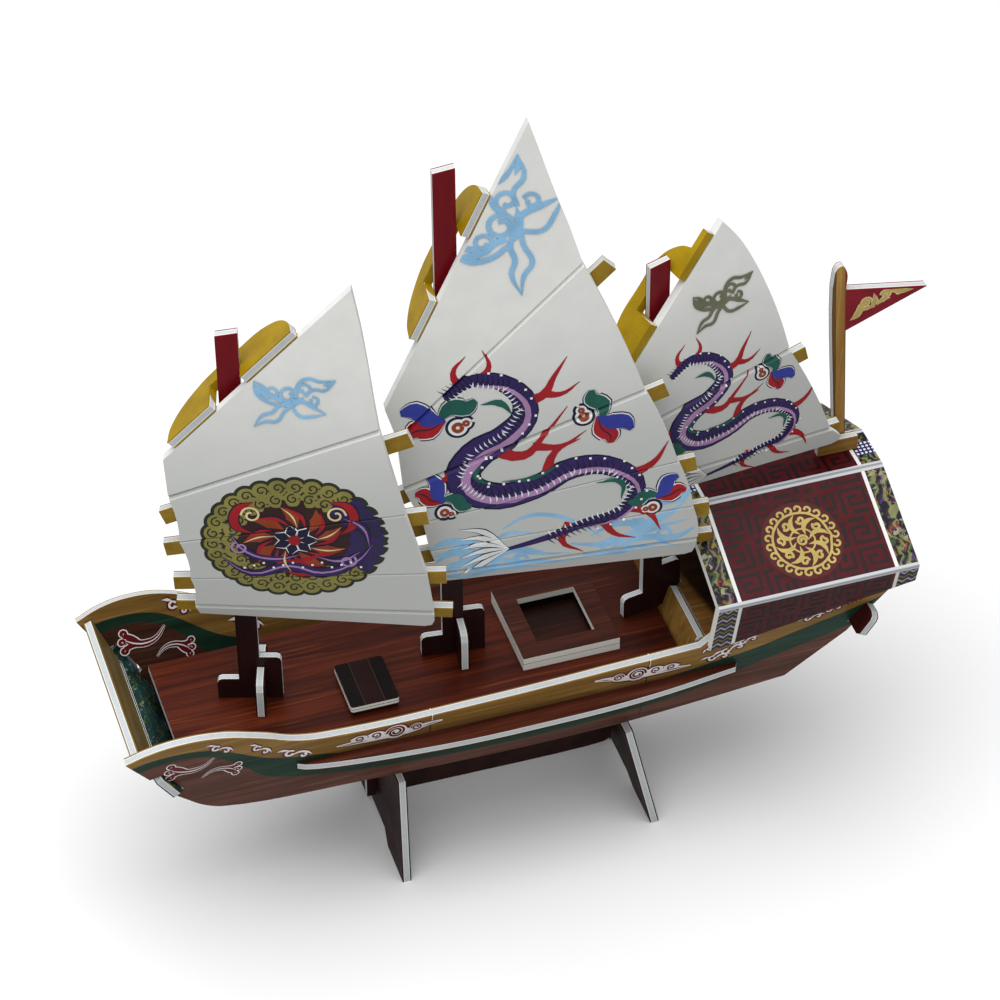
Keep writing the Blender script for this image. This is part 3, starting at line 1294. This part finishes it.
STERN_CURLS = [
    # (x, height, size, slant in degrees)
    (62, 72.6, 0.95, 8), (66.5, 75.0, 1.05, 24), (60.5, 79.0, 0.7, 50), (72, 78.4, 0.8, 20),
    (94, 83.6, 0.8, 16), (101, 86.0, 0.7, 16), (108, 88.2, 0.6, 16),
]
OUTER_CURLS = [(-106, 87.0, 0.95, -26), (-92.5, 81.4, 0.9, -36), (-81.5, 73.8, 1.15, -18)] + STERN_CURLS
INNER_CURLS = [(-103, 88.2, 0.95, -26), (-81, 76.4, 1.1, -14)] + STERN_CURLS
flames = flame(-121.0, 79.4, 0.98, -4, 1) + flame(-98.8, 71.8, 0.78, 168, 1)
glints = thinner([stroke for stroke in flames if stroke[2] == "drop"], 0.22)
fore_cloud, aft_cloud = long_cloud(-66.0, 71.2, 1.0, -6), long_cloud(54.6, 71.4, 0.95, 3, -1)
clouds, cloud_lines = fore_cloud[0] + aft_cloud[0], fore_cloud[1] + aft_cloud[1]
SIDE_FACES = {
    # name: (whether it is the inner face, its curls, its clouds, the lines in them, the ink of the lines)
    "_outer": (False, OUTER_CURLS, clouds, cloud_lines, "dark_red"),
    "_inner": (True, INNER_CURLS, [], glints, "white"),
}
for outward, hand in ((-1, "port"), (1, "starboard")):
    for label, (inside, curls, bodies, lines, line_ink) in SIDE_FACES.items():
        shown = [stroke for spot in curls for stroke in small_scroll(*spot)] + bodies
        layers = [wider(flames, 0.75) + glints, flames + wider(shown, 1.3), shown + glints, lines]
        drawn = brushwork(layers, on_side(outward, inside))
        tints = ("white", "dark_red", "white", line_ink)
        inked("side_ornament_" + hand + label, drawn, tints)

# The cabin
# One board folded over the poop, scored along four ridges that show white. Its ends are white-edged, with a
# band of flowers round each, and the red between them carries a dark key pattern and a gold rosette.

RIDGE = (43.48, 105.3)
ROOF_EDGE = (9.0, 121.0)
# the red field's ends, the middles of the white lines outside them, and where the flower bands begin
FIELD_X = (67.0, 120.0)
WHITE_LINES, WHITE_HALF = (66.4, 120.6), 0.62
BANDS_FROM = (65.8, 121.2)
CHEVRONS_BELOW, CHECK_HALF = 103.6, 3.2


def banded(tree, value, tints):
    """One flat tint after another as a value goes from 0 to 1."""
    made = wire(tree, "ValToRGB", {0: value})
    ramp = made.color_ramp
    ramp.interpolation = "CONSTANT"
    while len(ramp.elements) < len(tints):
        ramp.elements.new(1.0)
    for number, tint in enumerate(tints):
        ramp.elements[number].position = number / len(tints)
        ramp.elements[number].color = ink(*tint)
    return made.outputs[0]


def flower_band(tree, place):
    """Many small petals, each cell its own colour, and pale stems that wind between them."""
    swirl = calc(tree, "MULTIPLY", mottle(tree, place, 240.0, 2.0), 0.007)
    bent = drifted(tree, place, swirl, swirl, 0.0)
    petals = wire(tree, "TexVoronoi", {"Vector": bent, "Scale": 600.0}).outputs
    winding = {"Vector": bent, "Scale": 75.0, "Distortion": 14.0, "Detail": 2.0, "Detail Scale": 1.4}
    stems = wire(tree, "TexWave", winding).outputs["Fac"]
    hue = wire(tree, "SeparateColor", {0: petals["Color"]}).outputs[0]
    tints = banded(tree, hue, (
        (52, 44, 60), (106, 104, 44), (58, 80, 50), (132, 54, 46), (78, 52, 100),
        (158, 150, 128), (36, 32, 36), (150, 122, 40), (90, 96, 56),
    ))
    flowers = blend_ink(tree, step_up(tree, petals["Distance"], 0.45, 0.75), tints, ink(34, 30, 36))
    flowers = overprint(tree, flowers, step_up(tree, stems, 0.8, 0.92), 0.7, ink(138, 142, 96))
    return blend_ink(tree, step_up(tree, stems, 0.16, 0.06), flowers, ink(26, 22, 34))


def chevrons(tree, x, z):
    saw = calc(tree, "SUBTRACT", calc(tree, "FRACT", calc(tree, "MULTIPLY", x, 1 / 3.2)), 0.5)
    rise = calc(tree, "MULTIPLY", calc(tree, "ABSOLUTE", saw), 3.0)
    level = calc(tree, "FRACT", calc(tree, "MULTIPLY", calc(tree, "SUBTRACT", z, rise), 1 / 4.6))
    bars = ((26, 24, 34), (176, 172, 176), (78, 66, 112), (28, 26, 36), (122, 114, 44), (48, 44, 66))
    return banded(tree, level, bars)


def white_squares(tree, x, y):
    """Rows of white squares on blue."""
    def spaced(value, pitch):
        return near_line(tree, calc(tree, "FRACT", calc(tree, "MULTIPLY", value, pitch)), 0.5, 0.28)
    squares = both(tree, spaced(x, 0.7), spaced(y, 0.62))
    return blend_ink(tree, squares, ink(34, 34, 84), ink(226, 226, 232))


def shell_print(tree, place):
    """Red between the ends; round each end flowers, chevrons below the ridge and squares across the top."""
    x, side, z = in_mm(tree, place)
    x, y = calc(tree, "ADD", x, MIDDLE_X), calc(tree, "ABSOLUTE", side)
    red, relief = flat_ink(tree, place, ink(70, 8, 15), ink(82, 13, 20))
    band = blend_ink(tree, below(tree, z, CHEVRONS_BELOW), flower_band(tree, place), chevrons(tree, x, z))
    band = blend_ink(tree, below(tree, y, CHECK_HALF), band, white_squares(tree, x, y))
    outside = either(tree, below(tree, x, BANDS_FROM[0]), above(tree, x, BANDS_FROM[1]))
    color = blend_ink(tree, outside, red, band)
    white = either(tree, *[near_line(tree, x, line, WHITE_HALF) for line in WHITE_LINES])
    color = blend_ink(tree, white, color, ink(232, 232, 230))
    section = wire(tree, "CombineXYZ", {0: y, 1: z}).outputs[0]
    for ridge in (RIDGE, ROOF_EDGE):
        away = distance(tree, section, ridge + (0,))
        color = blend_ink(tree, step_up(tree, away, 1.5, 1.35), color, ink(200, 202, 206))
        color = blend_ink(tree, step_up(tree, away, 0.55, 0.35), color, ink(150, 152, 158))
        relief = calc(tree, "SUBTRACT", relief, step_up(tree, away, 0.9, 0.2))
    return color, relief


def shell_faces(tree, place, printed):
    """Printed all over but for the cut ends, which face fore and aft, and the walls' downward feet."""
    facing = normal_parts(tree)
    end = above(tree, calc(tree, "ABSOLUTE", facing[0]), 0.9)
    foot = both(tree, below(tree, facing[2], -0.9), below(tree, in_mm(tree, place)[2], 100))
    return calc(tree, "SUBTRACT", 1.0, either(tree, end, foot))


CABIN_RED = flat_print((74, 16, 22), (90, 24, 30))
printed_board("cabin_shell_print", nodes["cabin_shell"], shell_print, 0.34, shell_faces)
for node in ("cabin_front_frame", "cabin_back"):
    printed_board(node + "_print", nodes[node], CABIN_RED)

# each way runs from the ridge in (half breadth, height): the roof's up to its edge, the wall's down
ROOF_WAY = Vector((ROOF_EDGE[0] - RIDGE[0], ROOF_EDGE[1] - RIDGE[1])).normalized()
WALL_WAY = Vector((-0.259, -0.966))
ROOF_FIELD, WALL_FIELD, TOP_HALF = (1.6, 36.4), (1.6, 24.0), 7.6
# the sheer, as (x, height) at the cabin's front and aft of it, and how far the wall's print stays above it
SHEER_FORE, SHEER_AFT, SHEER_CLEAR = (67.0, 83.7), (127.0, 96.6), 0.9


def on_shell(outward, way, face):
    """Places a flat drawing of (x, reach from the ridge) on the flat of the cabin that runs that way."""
    def spot(x, reach, lift):
        half = RIDGE[0] + way.x * reach + face * way.y * lift
        height = RIDGE[1] + way.y * reach - face * way.x * lift
        return Vector((x - MIDDLE_X, outward * half, height)) * MM
    return spot


def on_top(x, y, lift):
    return Vector((x - MIDDLE_X, y, ROOF_EDGE[1] + lift)) * MM


KEY = 2.7
KEY_LONG, KEY_TALL, KEY_STROKE = 8, 4, 1.45
KEY_LINES = [
    # one unit of the key pattern, in steps of the pitch: a square hook and the bars that lock into it
    [(0, 0), (0, 3), (3, 3), (3, 1), (1, 1), (1, 2), (2, 2)],
    [(4, 0), (4, 3), (5, 3)],
    [(1, 0), (3, 0)],
    [(5, 0), (5, 2), (7, 2), (7, 0)],
    [(6, 0), (6, 1)],
    [(6, 3), (7, 3)],
]


def key_pattern(x0, x1, y0, y1):
    """The key pattern over a rectangle, every second unit turned round; it runs past the edges."""
    strokes = []
    for row in range(-1, int((y1 - y0) / KEY / KEY_TALL) + 2):
        for column in range(-1, int((x1 - x0) / KEY / KEY_LONG) + 2):
            across_by = KEY_LONG * column - KEY_LONG // 2 * (row % 2)
            for line in KEY_LINES:
                points = [(7 - u if row % 2 else u, 3 - v if (row + column) % 2 else v) for u, v in line]
                points = [(x0 + KEY * (u + across_by), y0 + KEY * (v + KEY_TALL * row)) for u, v in points]
                strokes.append((points, KEY_STROKE, "square"))
    return strokes


def trimmed(x0, x1, y0, y1):
    """Cuts everything that lies outside a rectangle off a flat drawing."""
    def cut(mesh):
        for point, normal in (
            ((x0, 0, 0), (-1, 0, 0)),
            ((x1, 0, 0), (1, 0, 0)),
            ((0, y0, 0), (0, -1, 0)),
            ((0, y1, 0), (0, 1, 0)),
        ):
            cut_along(mesh, point, normal, drop_outside=True)
    return cut


def rosette():
    """A gold rosette of scrolls in a ring of small hooks, 26 mm across."""
    strokes = []
    for step in range(22):
        angle = 360 * step / 22
        x, y = oval(11.3, radians(angle), 1, 1)
        strokes.append((curl(x, y, 1.25, angle + 200, 0.75, 0.4), 0.75, "line"))
    scroll = [
        ([(2.2, 0), (4.4, 2.0), (7.2, 2.0), (9.4, 0.2)], 1.7, "leaf"),
        (curl(7.2, -1.4, 1.5, 90, 1.1), 0.9, "line"),
    ]
    leaf = [([(5.0, 0.5), (8.6, 0.9)], 0.9, "leaf")]
    for step in range(8):
        strokes += moved(scroll, 0, 0, 1.0, step * 45) + moved(leaf, 0, 0, 1.0, step * 45 + 22)
    strokes.append((curl(0, 0, 9.9, 0, 1.0, 0.0), 0.8, "line"))
    strokes.append((curl(0, 0, 2.0, 0, 1.6, 0.8), 0.8, "line"))
    strokes.append((curl(0, 0, 4.2, 0, 1.0, 0.0), 0.6, "line"))
    return strokes


ROSETTE_AT = (93.2, 17.3)
clearing = [(curl(*ROSETTE_AT, reach, 0, 1.0, 0.0), 3.6, "line") for reach in (1.5, 4.5, 7.5, 10.5, 12.0)]
above_sheer = Vector((SHEER_FORE[0] - MIDDLE_X, 0, SHEER_FORE[1] + SHEER_CLEAR)) * MM
sheer_normal = Vector((SHEER_AFT[1] - SHEER_FORE[1], 0, SHEER_FORE[0] - SHEER_AFT[0]))
for outward, hand in ((-1, "port"), (1, "starboard")):
    field = FIELD_X + ROOF_FIELD
    roof = [key_pattern(*field), clearing, moved(rosette(), *ROSETTE_AT)]
    printed = brushwork(roof, on_shell(outward, ROOF_WAY, 1), trimmed(*field))
    inked("roof_print_" + hand, printed, ("fret", "cabin_red", "gold"))
    field = FIELD_X + WALL_FIELD
    printed = brushwork([key_pattern(*field)], on_shell(outward, WALL_WAY, -1), trimmed(*field))
    cut_along(printed, above_sheer, sheer_normal, 0.0, True)
    inked("wall_print_" + hand, printed, ("fret",))
field = FIELD_X + (-TOP_HALF, TOP_HALF)
inked("roof_top_print", brushwork([key_pattern(*field)], on_top, trimmed(*field)), ("fret",))

# The flag
# Pole and pennant are one board: the pole printed as tan wood with dark rims, the pennant deep red with
# cream-edged gold scrolls. Its foot stands against a small board on the roof.

FLAG_FOOT = (117.3, 4.9, 121.7)
FLAG_LEAN = radians(2.8)
POLE_FORE, POLE_AFT = -1.4, 2.3
FLAG_HALF_THICK = 1.5


def flag_print(tree, place):
    turned = quarter_turned(tree, place, "Y_AXIS")
    tan, relief = wood(tree, turned, (150, 108, 50), (186, 144, 76), (200, 162, 96))
    x, _, z = in_mm(tree, place)
    over = calc(tree, "SUBTRACT", x, FLAG_FOOT[0] - MIDDLE_X)
    rise = calc(tree, "MULTIPLY", calc(tree, "SUBTRACT", z, FLAG_FOOT[2]), sin(FLAG_LEAN))
    across_pole = calc(tree, "MULTIPLY_ADD", over, cos(FLAG_LEAN), rise)
    fore_rim = step_up(tree, across_pole, POLE_FORE + 0.55, POLE_FORE + 0.2)
    aft_rim = step_up(tree, across_pole, POLE_AFT - 0.5, POLE_AFT - 0.15)
    tan = overprint(tree, tan, either(tree, fore_rim, aft_rim), 0.75, ink(56, 34, 18))
    red, _ = flat_ink(tree, place, ink(122, 18, 32), ink(142, 28, 42))
    return blend_ink(tree, step_up(tree, across_pole, POLE_AFT - 0.05, POLE_AFT + 0.05), tan, red), relief


printed_board("flag_print", nodes["flag"], flag_print)


def on_pennant(side):
    """Places a flat drawing of (reach aft, height) on one face of the leaning flag."""
    def spot(u, v, lift):
        lean, level = sin(FLAG_LEAN), cos(FLAG_LEAN)
        x, y, z = FLAG_FOOT
        out = side * (FLAG_HALF_THICK + lift)
        return Vector((x - MIDDLE_X + u * level - v * lean, y + out, z + v * level + u * lean)) * MM
    return spot


PENNANT_EDGE = [(2.9, 48.8), (28.4, 58.0), (2.9, 63.6)]
PENNANT_SCROLLS = [
    ([(3.6, 51.6), (6.0, 53.2), (7.6, 56.4), (9.8, 59.6)], 2.2, "leaf"),
    ([(10.6, 54.6), (12.2, 57.0), (11.8, 60.6)], 1.9, "leaf"),
    ([(7.2, 54.0), (9.4, 55.2), (12.4, 54.8)], 1.3, "leaf"),
    ([(12.8, 55.2), (15.0, 57.0), (17.6, 57.0)], 1.4, "leaf"),
    ([(15.4, 58.8), (18.0, 60.2), (21.0, 58.8), (25.6, 58.2)], 2.0, "leaf"),
    (curl(9.2, 57.4, 1.7, 0, 1.1), 0.9, "line"),
    (curl(16.0, 58.8, 1.6, 180, -1.1), 0.9, "line"),
    (curl(20.2, 58.6, 0.9, 180, -1.1), 0.6, "line"),
]
for side, hand in ((-1, "port"), (1, "starboard")):
    layers = [wider(PENNANT_SCROLLS, 0.75), PENNANT_SCROLLS]
    drawn = brushwork(layers, on_pennant(side), lambda mesh: kept_on_the_board(mesh, PENNANT_EDGE))
    inked("pennant_print_" + hand, drawn, ("cream", "gold"))

# The studio
# A pale floor that runs to white, a wide soft light above and to the left, and a pale room all round.

FLOOR_HALF = 6.0
ROOM_LIGHT = 0.4
LAMP_AT, LAMP_WIDE, LAMP_WATTS = (-0.25, -0.16, 1.6), 2.0, 33.0
LAMP_AIM = (0, 0, 0.1)

floor_mesh = bmesh.new()
bmesh.ops.create_grid(floor_mesh, x_segments=2, y_segments=2, size=FLOOR_HALF)
floor_data = bpy.data.meshes.new("floor")
floor_mesh.to_mesh(floor_data)
floor_mesh.free()
floor = bpy.data.objects.new("floor", floor_data)
bpy.context.scene.collection.objects.link(floor)
floor_finish, tree, shader = new_finish("floor_finish", 0.5)
patches = mottle(tree, wire(tree, "TexCoord").outputs["Object"], 3.0)
pale = blend_ink(tree, patches, (0.93, 0.93, 0.94, 1), (0.95, 0.95, 0.95, 1))
# the floor throws less light back up at the boards than it shows
seen = wire(tree, "LightPath").outputs["Is Camera Ray"]
tree.links.new(blend_ink(tree, seen, (0.5, 0.5, 0.5, 1), pale), shader["Base Color"])
shader["Roughness"].default_value = 0.9
floor.data.materials.append(floor_finish)

world = bpy.data.worlds.new("room")
world.use_nodes = True
background = world.node_tree.nodes["Background"].inputs
background["Color"].default_value = (1, 1, 1, 1)
background["Strength"].default_value = ROOM_LIGHT
bpy.context.scene.world = world

lamp = bpy.data.lights.new("overhead", "AREA")
lamp.size = LAMP_WIDE
lamp.energy = LAMP_WATTS
overhead = bpy.data.objects.new("overhead", lamp)
turned = (Vector(LAMP_AT) - Vector(LAMP_AIM)).to_track_quat("Z", "Y").to_matrix().to_4x4()
overhead.matrix_world = Matrix.Translation(LAMP_AT) @ turned
bpy.context.scene.collection.objects.link(overhead)

bpy.context.scene.view_settings.view_transform = "Standard"
